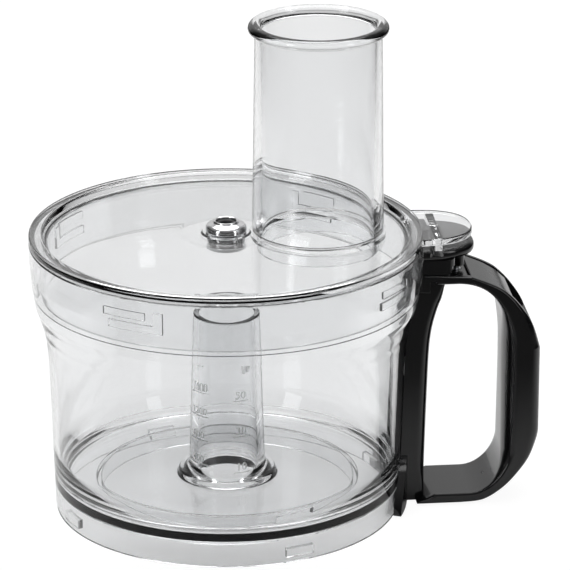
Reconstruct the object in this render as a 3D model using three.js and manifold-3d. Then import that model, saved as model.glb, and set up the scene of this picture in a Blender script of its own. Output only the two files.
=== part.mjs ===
// Bowl, lid and handle of a compact food processor.
// Millimetres, +Z up, the handle along +X. Everything is drawn about the bowl's own axis and then
// moved along X so that the origin lies under the middle of the whole object.
import * as THREE from 'three';
import { mergeVertices } from 'three/addons/utils/BufferGeometryUtils.js';
import Module from 'manifold-3d';

const wasm = await Module();
wasm.setup();

// ---- driving dimensions ----
const RIM_R = 87; // lid rim and bowl collar
const GRIP_R = 138.6; // outermost face of the grip, from the bowl axis
const AXIS_X = (RIM_R - GRIP_R) / 2; // bowl axis, so that the origin is under the middle
const GAP = 0.3; // between pieces that rest on each other
const ROUND = 60; // facets round the bowl and lid

const WALL = 2.5;
const FLOOR_Z = 14;
const COLUMN_Z = 91.8;
const COLUMN_BORE_R = 12.2;
const LEDGE_Z = 101;
const RIM_Z = 124; // top of the bowl's collar
const COLLAR_IN_R = RIM_R - WALL - 0.2;
const RAMP_IN_R = 83.2;
const LUG_OUT_R = RAMP_IN_R - GAP;
const LOCK_ANGLES = [-35, 55, 145, 235];
const RAMP_Z = [114.5, 118]; // underside and top of the bowl's bayonet ribs
const RAMP_SPAN = [-8, 6]; // degrees before and after each lock angle
const LUG_Z = [108.5, 112];
const LUG_SPAN = [-7, 8];
const UPRIGHT_SPAN = [8, 11]; // upright end of each lug
const KEY_ANGLES = [20, 110, 200, 290]; // keys that fit the drive base
const KEY_R = [72.6, 75.6];
const KEY_Z = [2, 6];
const NOTCH_R = [54, 61]; // notch in the drive ring
const NOTCH_SPAN = [-73, -53];

const LID_TOP_Z = 128;
const PLATE_Z = 124.5;
const PLATE_RISE = 2.5;
const PLATE_THICK = 2.6;
const SKIRT_R = 81.5;
const SKIRT_Z = LEDGE_Z + 1;
const HUB_TOP_Z = 130;
const HUB_R = 11;
const HUB_HOLE_R = 6.3;

const TUBE_X = 40.7; // feed tube axis, from the bowl axis
const TUBE_IN_R = 25;
const TUBE_TOP_Z = 222;
const TUBE_PAD_Z = 127.1;
const TUBE_PAD_R = 30;

const TAB_R = 109; // tip of the lid's locking tab
const TAB_HALF = 21;
const FINGER_IN_R = 90.5;
const FINGER_OUT_R = 94;
const FINGER_Z = 118.8;
const FINGER_HALF = 17;
const CAM_SLOPE = 0.1; // rise of the finger's underside, matched to the rod's travel

const HANDLE_HALF = 17.5;
const SIDE_WALL = 3;
const WEB = 1.8; // thickness round the finger opening
const LOOP_TOP_Z = 105; // underside of the top arm
const LOOP_LOW_Z = 5.2; // top of the lower arm
const GRIP_IN_R = 122.6; // inner face of the grip
const SPINE_HALF = 12;
const SPINE_DEPTH = 10.5;
const SPINE_WALL = 3;
const SPINE_TOP_Z = 109.5;
const REST_Z = 116.3; // underside of the thumb rest
const REST_TOP_Z = 121.5;
const REST_R = 110;
const GROOVE_Z = 118.4;
const PILLAR_X = 95;
const PILLAR_Y = 10.6;
const PILLAR_R = 3.6;
const PILLAR_Z = 107.6;
const BOSS_R = 5.4; // handle's boss round each post of the thumb rest
const REST_SCREW_X = 102.5;
const GRIP_SCREW_X = 117;
const COVER_THICK = 2.8;
const SCREW_R = 1.3;
const HEAD_R = 2.1;
const EAR_HALF = 2.6; // half width of the bowl's screw ears
const EAR_Y = 6;
const EAR_REACH = 7.2;
const EAR_LOW = [4.6, 12]; // heights of the lower and upper ears
const EAR_HIGH = [99.5, 105.6];

const ROD_IN = 3.5; // rod strip, outwards from the bowl wall
const ROD_OUT = 6.5;
const ROD_HALF = 3;
const ROD_TOP_Z = 118.5;
const ROD_FOOT_Z = 16;
const PIN_R = 1.3;
const PIN_X = 81.7; // foot pin and spring
const PIN_Z = 1;
const SPRING_Z = 4.3;
const SPRING_TURNS = 5;

// Outer face of the bowl: [radius, height] from the foot to the rim.
const BOWL_FACE = [
  [77, 0], [77.6, 20], [78.4, 48], [79.3, 72], [80.5, 82], [81.7, 87], [83, 91.5],
  [84.6, 96], [85.3, 101], [86.1, 106], [86.8, 116], [RIM_R, RIM_Z],
];

// ---- materials ----
const clear = () => new THREE.MeshStandardMaterial({
  color: 0xe4e7ea, roughness: 0.06, metalness: 0, transparent: true, opacity: 0.35,
});
const black = () => new THREE.MeshStandardMaterial({ color: 0x0d0d0f, roughness: 0.22, metalness: 0 });
const chrome = () => new THREE.MeshStandardMaterial({ color: 0xc9ccd0, roughness: 0.1, metalness: 1 });
const steel = () => new THREE.MeshStandardMaterial({ color: 0x9a9da1, roughness: 0.35, metalness: 1 });

// ---- helpers ----
const radians = (degrees) => degrees * Math.PI / 180;
const around = (angle, [before, after]) => [angle + before, angle + after];

function bare(geometry) {
  const copy = geometry.clone();
  copy.deleteAttribute('normal');
  copy.deleteAttribute('uv');
  return mergeVertices(copy, 1e-4);
}

function solid(geometry) {
  const merged = bare(geometry);
  const vertProperties = new Float32Array(merged.attributes.position.array);
  const triVerts = new Uint32Array(merged.index.array);
  return new wasm.Manifold(new wasm.Mesh({ numProp: 3, vertProperties, triVerts }));
}

function geometryOf(manifold) {
  const mesh = manifold.getMesh();
  const geometry = new THREE.BufferGeometry();
  geometry.setAttribute('position', new THREE.BufferAttribute(mesh.vertProperties, 3));
  geometry.setIndex(new THREE.BufferAttribute(mesh.triVerts, 1));
  geometry.computeVertexNormals();
  return geometry;
}

const earScrewX = (low) => faceRadius(low) + 4.4;
const joined = (solids) => solids.reduce((all, next) => all.add(next));
const cutAll = (body, tools) => tools.reduce((left, tool) => left.subtract(tool), body);

// A closed [radius, height] outline turned about Z, with its faces outwards whichever way it was drawn.
function turned(outline, segments = ROUND) {
  const points = outline.map(([r, z]) => new THREE.Vector2(r, z));
  if (THREE.ShapeUtils.isClockWise(points)) points.reverse();
  points.push(points[0].clone());
  return new THREE.LatheGeometry(points, segments).rotateX(Math.PI / 2);
}

function cylinder(radius, low, high, x = 0, y = 0, segments = 24) {
  const geometry = new THREE.CylinderGeometry(radius, radius, high - low, segments);
  return geometry.rotateX(Math.PI / 2).translate(x, y, (low + high) / 2);
}

function box(x0, x1, y0, y1, z0, z1) {
  const geometry = new THREE.BoxGeometry(x1 - x0, y1 - y0, z1 - z0);
  return geometry.translate((x0 + x1) / 2, (y0 + y1) / 2, (z0 + z1) / 2);
}

// A [x, y] outline raised from one height to another.
function raised(outline, low, high) {
  const shape = new THREE.Shape(outline.map(([x, y]) => new THREE.Vector2(x, y)));
  const options = { depth: high - low, bevelEnabled: false };
  return new THREE.ExtrudeGeometry(shape, options).translate(0, 0, low);
}

// A [x, z] outline in the handle's own plane, as thick as it is wide across Y.
function slab(outline, y0, y1) {
  const shape = new THREE.Shape(outline.map(([x, z]) => new THREE.Vector2(x, z)));
  const options = { depth: y1 - y0, bevelEnabled: false };
  return new THREE.ExtrudeGeometry(shape, options).rotateX(Math.PI / 2).translate(0, y1, 0);
}

// Part of a ring between two radii, heights and angles.
function ringPart(inner, outer, low, high, from, to, steps = 6) {
  const angles = Array.from({ length: steps + 1 }, (_, i) => radians(from + (to - from) * i / steps));
  const arc = (r, list) => list.map((a) => [r * Math.cos(a), r * Math.sin(a)]);
  return raised([...arc(outer, angles), ...arc(inner, [...angles].reverse())], low, high);
}

function mesh(name, geometry, material) {
  const made = new THREE.Mesh(geometry, material);
  made.name = name;
  return made;
}

// Radius of the bowl's outer face at a height.
function faceRadius(z) {
  const i = Math.max(1, BOWL_FACE.findIndex(([, height]) => height >= z));
  const [[r0, z0], [r1, z1]] = [BOWL_FACE[i - 1], BOWL_FACE[i]];
  return r0 + (r1 - r0) * (z - z0) / (z1 - z0);
}

// Outline of a strip that follows the bowl's face between two distances from it.
function alongFace(near, far, low, high) {
  const inside = BOWL_FACE.map(([, z]) => z).filter((z) => z > low && z < high);
  const heights = [low, ...inside, high];
  const side = (distance, list) => list.map((z) => [faceRadius(z) + distance, z]);
  return [...side(far, heights), ...side(near, [...heights].reverse())];
}

// Everything inside the bowl's outer face, grown by a gap: cuts the handle to fit the wall.
function bowlCore(gap) {
  const grown = BOWL_FACE.map(([r, z]) => [r + gap, z]);
  const top = [RIM_R + gap, RIM_Z + 20];
  return solid(turned([[0, -5], [BOWL_FACE[0][0] + gap, -5], ...grown, top, [0, top[1]]]));
}

// ---- bowl ----
function bowlShell() {
  const wallIn = BOWL_FACE.filter(([, z]) => z > FLOOR_Z && z < LEDGE_Z)
    .map(([r, z]) => [r - WALL, z]);
  return solid(turned([
    [COLUMN_BORE_R + 1.6, FLOOR_Z - 2.5], [COLUMN_BORE_R, COLUMN_Z], [14.7, COLUMN_Z],
    [17, 20], [18.5, 17.5], [22, 16.5], [22, FLOOR_Z],
    [72.5, FLOOR_Z], [74.6, 16], ...wallIn,
    [82.4, LEDGE_Z - 0.5], [83.7, LEDGE_Z], [COLLAR_IN_R, 110], [COLLAR_IN_R, RIM_Z],
    ...[...BOWL_FACE].reverse(),
    [74.6, 0], [74.9, FLOOR_Z - 2.5],
    [58.5, FLOOR_Z - 2.5], [58.5, 3], [56.3, 3], [56.3, FLOOR_Z - 2.5],
  ]));
}

// Sloping bayonet ribs inside the collar, which hold the lid's lugs down.
function bowlRamps() {
  return LOCK_ANGLES.map((angle) => solid(
    ringPart(RAMP_IN_R, COLLAR_IN_R + 1, ...RAMP_Z, ...around(angle, RAMP_SPAN), 4),
  ));
}

// Two pairs of screw ears on the wall, inside the spine.
function bowlEars() {
  const blocks = [];
  const holes = [];
  for (const [low, high] of [EAR_LOW, EAR_HIGH]) {
    for (const side of [-1, 1]) {
      const y = side * EAR_Y;
      const wall = faceRadius(low);
      blocks.push(solid(box(wall - 1, wall + EAR_REACH, y - EAR_HALF, y + EAR_HALF, low, high)));
      holes.push(solid(cylinder(SCREW_R + GAP, low - 1, high + 1, earScrewX(low), y, 16)));
    }
  }
  return { blocks, holes };
}

// Square keys inside the skirt, which lock the bowl on its drive base.
function baseKeys() {
  return KEY_ANGLES.map((angle) => solid(
    ringPart(...KEY_R, ...KEY_Z, ...around(angle, [-5, 5]), 2),
  ));
}

function bowl() {
  const ringNotch = solid(ringPart(...NOTCH_R, 0, 8, ...NOTCH_SPAN, 4));
  const ears = bowlEars();
  const body = joined([bowlShell(), ...bowlRamps(), ...ears.blocks, ...baseKeys()]);
  return geometryOf(cutAll(body, [ringNotch, ...ears.holes]));
}

// ---- lid ----
function lidShell() {
  return solid(turned([
    [HUB_HOLE_R, 120], [HUB_HOLE_R, HUB_TOP_Z], [HUB_R - 0.8, HUB_TOP_Z], [HUB_R, HUB_TOP_Z - 0.8],
    [HUB_R, PLATE_Z + PLATE_RISE], [20, PLATE_Z + PLATE_RISE], [80, PLATE_Z], [80.8, 127.3],
    [81.6, LID_TOP_Z], [RIM_R - 1, LID_TOP_Z], [RIM_R, LID_TOP_Z - 1], [RIM_R, RIM_Z + GAP],
    [SKIRT_R, RIM_Z + GAP], [SKIRT_R, SKIRT_Z], [SKIRT_R - 2.2, SKIRT_Z],
    [SKIRT_R - 2.2, PLATE_Z - PLATE_THICK], [20, PLATE_Z + PLATE_RISE - PLATE_THICK],
    [HUB_R, PLATE_Z + PLATE_RISE - PLATE_THICK], [HUB_R, 120],
  ]));
}

// L-shaped lugs on the lid's skirt: a foot that runs under the bowl's ramp and a short upright.
function lidLugs() {
  return LOCK_ANGLES.flatMap((angle) => [
    solid(ringPart(SKIRT_R - 1, LUG_OUT_R, ...LUG_Z, ...around(angle, LUG_SPAN), 4)),
    solid(ringPart(SKIRT_R - 1, LUG_OUT_R, LUG_Z[0], RAMP_Z[1], ...around(angle, UPRIGHT_SPAN), 2)),
  ]);
}

function tabOutline(root, tip, half) {
  const shoulder = tip - 16;
  const curve = new THREE.CubicBezierCurve(
    new THREE.Vector2(shoulder, -half + 1), new THREE.Vector2(tip - 3, -half + 4),
    new THREE.Vector2(tip, -8), new THREE.Vector2(tip, 0),
  );
  const near = curve.getPoints(6).map((p) => [p.x, p.y]);
  const far = near.slice(0, -1).reverse().map(([x, y]) => [x, -y]);
  return [[root, -half], ...near, ...far, [root, half]];
}

// The finger under the locking tab. Its underside is a cam that lets the rod rise as the lid turns.
function lidFinger() {
  const top = PLATE_Z + 1;
  const flatEnd = ROD_HALF;
  const side = [
    [-FINGER_HALF, top], [-FINGER_HALF, FINGER_Z + CAM_SLOPE * (FINGER_HALF + flatEnd)],
    [flatEnd, FINGER_Z], [FINGER_HALF, FINGER_Z], [FINGER_HALF, top],
  ];
  const shape = new THREE.Shape(side.map(([y, z]) => new THREE.Vector2(y, z)));
  const depth = FINGER_OUT_R - FINGER_IN_R;
  const geometry = new THREE.ExtrudeGeometry(shape, { depth, bevelEnabled: false });
  // the outline's own X and Y become Y and Z, and its depth runs outwards along X
  const turn = new THREE.Matrix4().makeBasis(
    new THREE.Vector3(0, 1, 0), new THREE.Vector3(0, 0, 1), new THREE.Vector3(1, 0, 0),
  );
  return solid(geometry.applyMatrix4(turn).translate(FINGER_IN_R, 0, 0));
}

function lid() {
  const tab = solid(raised(tabOutline(RIM_R - 4, TAB_R, TAB_HALF), RIM_Z + GAP, LID_TOP_Z - 0.4));
  const pad = solid(cylinder(TUBE_PAD_R, PLATE_Z - PLATE_THICK + 1, TUBE_PAD_Z, TUBE_X, 0, 48));
  const lip = solid(cylinder(TUBE_IN_R + 2, 117, PLATE_Z, TUBE_X, 0, 48));
  const bore = solid(cylinder(TUBE_IN_R, 100, 140, TUBE_X, 0, 48));
  const body = joined([lidShell(), ...lidLugs(), tab, lidFinger(), pad, lip]);
  return geometryOf(cutAll(body, [bore]));
}

function feedTube() {
  const outline = [
    [TUBE_IN_R, TUBE_PAD_Z + GAP], [TUBE_IN_R, TUBE_TOP_Z - 1], [TUBE_IN_R + 1, TUBE_TOP_Z],
    [29.6, TUBE_TOP_Z], [30.8, TUBE_TOP_Z - 1.2], [30.8, TUBE_TOP_Z - 3.2],
    [29.8, TUBE_TOP_Z - 4.2], [27.9, TUBE_TOP_Z - 4.2], [29.1, TUBE_PAD_Z + GAP],
  ];
  return turned(outline, 48).translate(TUBE_X, 0, 0);
}

// ---- spindle bush in the lid ----
function lidBush() {
  return turned([
    [4.5, 118.6], [4.5, 135.4], [5.2, 136], [6.6, 135.8], [7.4, 134.6], [7.6, 132.8],
    [8.9, 132.4], [9, HUB_TOP_Z + GAP], [HUB_HOLE_R - GAP, HUB_TOP_Z + GAP],
    [HUB_HOLE_R - GAP, 118.6],
  ], 32);
}

function bushInsert() {
  return turned([
    [2.2, 121], [2.2, 134.4], [2.8, 135.2], [4.5 - GAP, 135.2], [4.5 - GAP, 121],
  ], 24);
}

function bushClip() {
  return turned([[HUB_HOLE_R, 118.6], [HUB_HOLE_R, 119.7], [8.6, 119.7], [8.6, 118.6]], 24);
}

// ---- handle ----
// Outer edge of the grip loop, from the spine's top round to the spine's foot.
function loopOuter() {
  const top = new THREE.SplineCurve([
    [106.8, 108.2], [116.1, 104.4], [122.6, 100.6], [129, 94], [135, 84.6], [GRIP_R, 73],
  ].map(([x, z]) => new THREE.Vector2(x, z))).getPoints(14);
  const low = new THREE.SplineCurve([
    [GRIP_R, 38], [138.2, 31], [134.9, 21.5], [129.2, 13.6], [122.2, 6.6], [113.8, 1.6], [104, 0.6],
  ].map(([x, z]) => new THREE.Vector2(x, z))).getPoints(14);
  const edge = [...top, ...low].map((p) => [Math.min(p.x, GRIP_R), p.y]);
  return [[86, SPINE_TOP_Z], ...edge, [84, 0.6]];
}

// Edge of the finger opening, going round the same way.
function loopInner(grow = 0) {
  const path = new THREE.Path();
  path.moveTo(92 - grow, LOOP_TOP_Z + grow);
  path.lineTo(102, LOOP_TOP_Z + grow);
  path.bezierCurveTo(111, LOOP_TOP_Z - 0.4 + grow, 119, 100 + grow, GRIP_IN_R - 1.2 + grow, 90);
  path.bezierCurveTo(GRIP_IN_R + grow, 84, GRIP_IN_R + grow, 70, GRIP_IN_R + grow, 60);
  path.lineTo(GRIP_IN_R + grow, 24);
  path.bezierCurveTo(GRIP_IN_R + grow, 12, 116, LOOP_LOW_Z - grow, 107.5, LOOP_LOW_Z - grow);
  path.lineTo(92 - grow, LOOP_LOW_Z - grow);
  return path.getPoints(6).map((p) => [p.x, p.y]);
}

// Hollow of the loop: everything outside the inner web, open towards the outer edge.
function loopHollow() {
  const web = loopInner(WEB).filter(([x]) => x > 104);
  return [
    [98, SPINE_TOP_Z + 3], [98, LOOP_TOP_Z + WEB], ...web, [104, 1.8], [104, -3],
    [GRIP_R + 5, -3], [GRIP_R + 5, SPINE_TOP_Z + 3],
  ];
}

function loopSolid() {
  const wall = slab(loopOuter(), -HANDLE_HALF, HANDLE_HALF);
  const opening = slab(loopInner(), -HANDLE_HALF - 1, HANDLE_HALF + 1);
  const inside = HANDLE_HALF - SIDE_WALL;
  // the opening stops at the spine, so its inner part is left standing
  const hand = solid(opening).subtract(spineBlock());
  return solid(wall).subtract(hand).subtract(solid(slab(loopHollow(), -inside, inside)));
}

function spineBlock() {
  return solid(slab(alongFace(-2, SPINE_DEPTH, 0.6, SPINE_TOP_Z), -SPINE_HALF, SPINE_HALF));
}

// Foot of the spine, which spreads round the bowl's skirt.
function saddle() {
  const ring = solid(ringPart(70, 80.9, 0.6, 25, -22, 22, 10));
  const round = solid(cylinder(31, 60, 90, 6, 0, 40).rotateY(Math.PI / 2));
  return ring.intersect(round);
}

// Thin upper part of the spine, under the thumb rest.
function spineNeck() {
  return solid(ringPart(84, 90.4, 100, REST_Z - GAP, -9, 9, 4));
}

function spineHollow() {
  const half = SPINE_HALF - SPINE_WALL;
  return solid(slab(alongFace(-4, SPINE_DEPTH - SPINE_WALL, 4, SPINE_TOP_Z - 3), -half, half));
}

// Way for the interlock rod through the spine's top and floor.
function rodPassages() {
  const top = solid(box(RIM_R + ROD_IN - 1.6, RIM_R + ROD_OUT + 0.6, -3.4, 3.4, 100, 125));
  const foot = solid(cylinder(PIN_R + 0.5, -2, 5, PIN_X));
  return [top, foot];
}

function screwHoles() {
  const tools = [];
  for (const side of [-1, 1]) {
    const [low, high] = [earScrewX(EAR_LOW[0]), earScrewX(EAR_HIGH[0])];
    tools.push(solid(cylinder(SCREW_R + GAP, -1, 13, low, side * EAR_Y, 16)));
    tools.push(solid(cylinder(HEAD_R + GAP, -1, 2.2, low, side * EAR_Y, 16)));
    tools.push(solid(cylinder(SCREW_R + GAP, 99, 112, high, side * EAR_Y, 16)));
    tools.push(solid(cylinder(HEAD_R + GAP, 107.9, 115, high, side * EAR_Y, 16)));
    tools.push(solid(cylinder(PILLAR_R + GAP, PILLAR_Z - GAP, 125, PILLAR_X, side * PILLAR_Y, 24)));
  }
  for (const [x, seat, end] of [[REST_SCREW_X, 106.8, 112], [GRIP_SCREW_X, 5.4, 8]]) {
    tools.push(solid(cylinder(SCREW_R + GAP, seat - 3, end, x, 0, 16)));
    tools.push(solid(cylinder(HEAD_R + GAP, seat - 8, seat, x, 0, 16)));
  }
  return tools;
}

function handleBody() {
  const restBoss = solid(cylinder(PILLAR_R, LOOP_TOP_Z + 0.5, PILLAR_Z + 0.8, REST_SCREW_X, 0));
  const postBosses = [-1, 1].map((side) => solid(
    cylinder(BOSS_R, LOOP_TOP_Z + 1, REST_Z - GAP, PILLAR_X, side * PILLAR_Y, 32),
  ));
  const whole = joined([loopSolid(), spineBlock(), saddle(), spineNeck(), restBoss, ...postBosses]);
  return geometryOf(cutAll(whole, [bowlCore(GAP), spineHollow(), ...rodPassages(), ...screwHoles()]));
}

// Outer shell of the grip, which drops between the side walls.
function gripCover() {
  const outer = loopOuter().filter(([x, z]) => x > 113 && z < 84);
  const inner = outer.map(([x, z]) => {
    const lean = Math.min(1, Math.max(0, (40 - z) / 30));
    return [x - COVER_THICK * (1 - lean * 0.5), z + COVER_THICK * lean];
  }).reverse();
  const half = HANDLE_HALF - SIDE_WALL - GAP;
  const shell = solid(slab([...outer, ...inner], -half, half));
  const room = solid(slab(loopHollow().map(([x, z]) => [x + GAP, z - GAP]), -half - 1, half + 1));
  const head = solid(cylinder(HEAD_R + GAP, -2, 5.4, GRIP_SCREW_X, 0, 16));
  const shank = solid(cylinder(SCREW_R + GAP, 2, 9, GRIP_SCREW_X, 0, 16));
  return geometryOf(cutAll(shell.intersect(room), [head, shank]));
}

// Strip that closes the channel in the top arm.
function armInfill() {
  const half = HANDLE_HALF - SIDE_WALL - GAP;
  const top = [[107.3, 107.7], [116.1, 104], [122.1, 100.4], [126.3, 96.6]];
  const below = top.map(([x, z]) => [x - 0.3, z - 0.8]).reverse();
  return geometryOf(solid(slab([...top, ...below], -half, half)));
}

function thumbRest() {
  const outline = tabOutline(RIM_R + 0.4, REST_R, TAB_HALF - 1);
  const plate = solid(raised(outline, REST_Z, REST_TOP_Z));
  const nose = solid(box(RIM_R + 0.5, 89.8, -3, 12, REST_Z + 1, 123.8));
  const groove = solid(ringPart(90, 96, GROOVE_Z, 130, -16, 16, 8));
  const window = solid(box(89.6, 94.4, -3.5, 3.5, 110, 125));
  const pillars = [-1, 1].map((side) => solid(
    cylinder(PILLAR_R, PILLAR_Z, REST_Z + 1, PILLAR_X, side * PILLAR_Y, 24),
  ));
  const post = solid(cylinder(PILLAR_R, PILLAR_Z + 1.1, REST_Z + 1, REST_SCREW_X, 0, 24));
  const hole = solid(cylinder(SCREW_R + GAP, 100, REST_Z + 0.5, REST_SCREW_X, 0, 16));
  const body = joined([plate, nose, post, ...pillars]);
  return geometryOf(cutAll(body, [groove, window, bowlCore(GAP), hole]));
}

// ---- interlock rod ----
function interlockRod() {
  const strip = solid(slab(alongFace(ROD_IN, ROD_OUT, ROD_FOOT_Z, ROD_TOP_Z), -ROD_HALF, ROD_HALF));
  const pin = solid(cylinder(PIN_R, PIN_Z, ROD_FOOT_Z + 1, PIN_X, 0, 16));
  return geometryOf(strip.add(pin));
}

class Helix extends THREE.Curve {
  constructor(radius, low, high, turns) {
    super();
    Object.assign(this, { radius, low, high, turns });
  }

  getPoint(t) {
    const angle = t * this.turns * 2 * Math.PI;
    const z = this.low + (this.high - this.low) * t;
    return new THREE.Vector3(this.radius * Math.cos(angle), this.radius * Math.sin(angle), z);
  }
}

function interlockSpring() {
  const wire = 0.4;
  const section = new THREE.Shape().absarc(0, 0, wire, 0, 2 * Math.PI);
  const extrudePath = new Helix(2.2, SPRING_Z + wire, ROD_FOOT_Z - GAP - wire, SPRING_TURNS);
  const options = { steps: SPRING_TURNS * 10, curveSegments: 3, extrudePath, bevelEnabled: false };
  return new THREE.ExtrudeGeometry(section, options).translate(PIN_X, 0, 0);
}

// Clip that holds the rod against the spine's web.
function rodRetainer() {
  const z = 56;
  const wall = faceRadius(z);
  const half = SPINE_HALF - SPINE_WALL - GAP;
  const block = solid(box(wall + 1.2, wall + SPINE_DEPTH - SPINE_WALL - GAP, -half, half, z, z + 6));
  const way = solid(box(wall + 2.2, wall + 12, -ROD_HALF - 0.5, ROD_HALF + 0.5, z - 1, z + 7));
  return geometryOf(block.subtract(way));
}

// ---- screws: a shank and a head with a cross slot, pointing up or down ----
function screw(length, up) {
  const head = solid(cylinder(HEAD_R, -1.6, 0, 0, 0, 16));
  const shank = solid(cylinder(SCREW_R, -0.5, length, 0, 0, 12));
  const slots = [box(-1.6, 1.6, -0.3, 0.3, -2, -0.9), box(-0.3, 0.3, -1.6, 1.6, -2, -0.9)];
  const made = geometryOf(cutAll(head.add(shank), slots.map(solid)));
  return up ? made : made.rotateX(Math.PI);
}

function screws() {
  const made = [];
  for (const [side, word] of [[-1, 'front'], [1, 'back']]) {
    const places = [
      [`handle_screw_lower_${word}`, earScrewX(EAR_LOW[0]), EAR_Y, 2.0, 8.6, true],
      [`handle_screw_upper_${word}`, earScrewX(EAR_HIGH[0]), EAR_Y, 108.2, 7.6, false],
    ];
    for (const [name, x, y, z, length, up] of places) {
      const piece = mesh(name, screw(length, up), steel());
      piece.position.set(x, side * y, z);
      made.push(piece);
    }
  }
  const single = [
    ['thumb_rest_screw', REST_SCREW_X, 106.6, 9.4],
    ['grip_cover_screw', GRIP_SCREW_X, 5.2, 2.6],
  ];
  for (const [name, x, z, length] of single) {
    const piece = mesh(name, screw(length, true), steel());
    piece.position.set(x, 0, z);
    made.push(piece);
  }
  return made;
}

// ---- the whole object ----
const bowlSet = new THREE.Group();
bowlSet.position.x = AXIS_X;

bowlSet.add(mesh('bowl', bowl(), clear()));

const lidGroup = new THREE.Group();
lidGroup.add(
  mesh('lid', lid(), clear()),
  mesh('feed_tube', feedTube(), clear()),
  mesh('lid_bush', lidBush(), chrome()),
  mesh('bush_insert', bushInsert(), black()),
  mesh('bush_clip', bushClip(), steel()),
);
bowlSet.add(lidGroup);

const handleGroup = new THREE.Group();
handleGroup.add(
  mesh('handle_body', handleBody(), black()),
  mesh('grip_cover', gripCover(), black()),
  mesh('arm_infill', armInfill(), black()),
  mesh('thumb_rest', thumbRest(), black()),
  mesh('interlock_rod', interlockRod(), black()),
  mesh('interlock_spring', interlockSpring(), steel()),
  mesh('rod_retainer', rodRetainer(), black()),
  ...screws(),
);
bowlSet.add(handleGroup);

const model = new THREE.Group();
model.add(bowlSet);
export default model;
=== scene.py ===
# %% [markdown]
# # A clear food processor bowl in a white studio
# The object is a clear plastic bowl with a hollow column in its middle, a clear lid with a feed tube,
# and a glossy black loop handle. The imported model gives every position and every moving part; this
# lesson makes the fine surfaces, the clear plastic and the light. Everything is in metres, with the
# handle along +X and the bowl standing on z = 0.

# %% Load the fixed frame
import math

import bmesh
import bpy
from mathutils import Matrix, Vector


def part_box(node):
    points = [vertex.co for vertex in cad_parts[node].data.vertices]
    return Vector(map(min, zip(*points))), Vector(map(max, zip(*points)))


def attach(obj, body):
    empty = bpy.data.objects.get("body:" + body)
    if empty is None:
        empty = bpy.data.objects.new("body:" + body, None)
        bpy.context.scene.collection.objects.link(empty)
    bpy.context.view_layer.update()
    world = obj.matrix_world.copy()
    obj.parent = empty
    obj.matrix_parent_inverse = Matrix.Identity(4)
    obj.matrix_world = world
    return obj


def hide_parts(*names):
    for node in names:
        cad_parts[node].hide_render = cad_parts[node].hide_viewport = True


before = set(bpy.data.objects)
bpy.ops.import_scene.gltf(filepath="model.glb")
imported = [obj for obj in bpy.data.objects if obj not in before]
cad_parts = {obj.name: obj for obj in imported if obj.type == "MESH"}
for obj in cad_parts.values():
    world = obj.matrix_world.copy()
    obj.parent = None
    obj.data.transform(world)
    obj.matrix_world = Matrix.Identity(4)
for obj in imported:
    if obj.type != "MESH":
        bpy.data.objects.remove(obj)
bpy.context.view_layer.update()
MM = 0.001

# %% [markdown]
# ## Where things are
# The bowl's axis isn't the origin, because the handle makes the object longer on one side. The boxes
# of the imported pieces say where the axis, the rim and the feed tube are.

# %% Key places from the frame
bush_low, bush_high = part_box("lid_bush")
tube_low, tube_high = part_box("feed_tube")
AXIS = Vector(((bush_low.x + bush_high.x) / 2, 0, 0))
TUBE_AXIS = Vector(((tube_low.x + tube_high.x) / 2, 0, 0))
RIM_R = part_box("bowl")[1].y
TUBE_TOP = tube_high.z
print("bowl axis x", round(AXIS.x, 4), "rim radius", round(RIM_R, 4), "tube top", round(TUBE_TOP, 4))

# %% [markdown]
# ## The camera
# A long lens from a little above the lid, turned so that the handle points slightly away. A long lens
# keeps the bowl's sides almost parallel.

# %% Camera
VIEW_AZIMUTH = math.radians(-5.8)
VIEW_PITCH = math.radians(20.1)
VIEW_DISTANCE = 1.845
LENS = 263


def place_camera(aim, azimuth, pitch, distance, lens):
    data = bpy.data.cameras.new("studio_camera")
    data.lens = lens
    camera = bpy.data.objects.new("studio_camera", data)
    bpy.context.scene.collection.objects.link(camera)
    away = Vector((math.sin(azimuth) * math.cos(pitch), -math.cos(azimuth) * math.cos(pitch),
                   math.sin(pitch)))
    camera.location = aim + away * distance
    camera.rotation_euler = (aim - camera.location).to_track_quat("-Z", "Y").to_euler()
    bpy.context.scene.camera = camera
    return camera


camera_aim = AXIS + Vector((0.0261, 0.0001, 0.1013))
camera = place_camera(camera_aim, VIEW_AZIMUTH, VIEW_PITCH, VIEW_DISTANCE, LENS)
print("camera at", [round(v, 3) for v in camera.location])

# %% [markdown]
# ## Shader sums as Python sums
# `Value` wraps one socket of a node tree. Adding, taking away or multiplying two of them adds the
# Math node that does it, so a pattern reads like a formula.


# %% A small helper for shader trees
class Value:
    def __init__(self, tree, socket):
        self.tree, self.socket = tree, socket

    def _sum(self, operation, first, second):
        node = self.tree.nodes.new("ShaderNodeMath")
        node.operation = operation
        for slot, item in zip(node.inputs, (first, second)):
            if isinstance(item, Value):
                self.tree.links.new(item.socket, slot)
            else:
                slot.default_value = item
        return Value(self.tree, node.outputs[0])

    def __add__(self, other): return self._sum("ADD", self, other)
    def __radd__(self, other): return self._sum("ADD", other, self)
    def __sub__(self, other): return self._sum("SUBTRACT", self, other)
    def __rsub__(self, other): return self._sum("SUBTRACT", other, self)
    def __mul__(self, other): return self._sum("MULTIPLY", self, other)
    def __rmul__(self, other): return self._sum("MULTIPLY", other, self)


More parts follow.
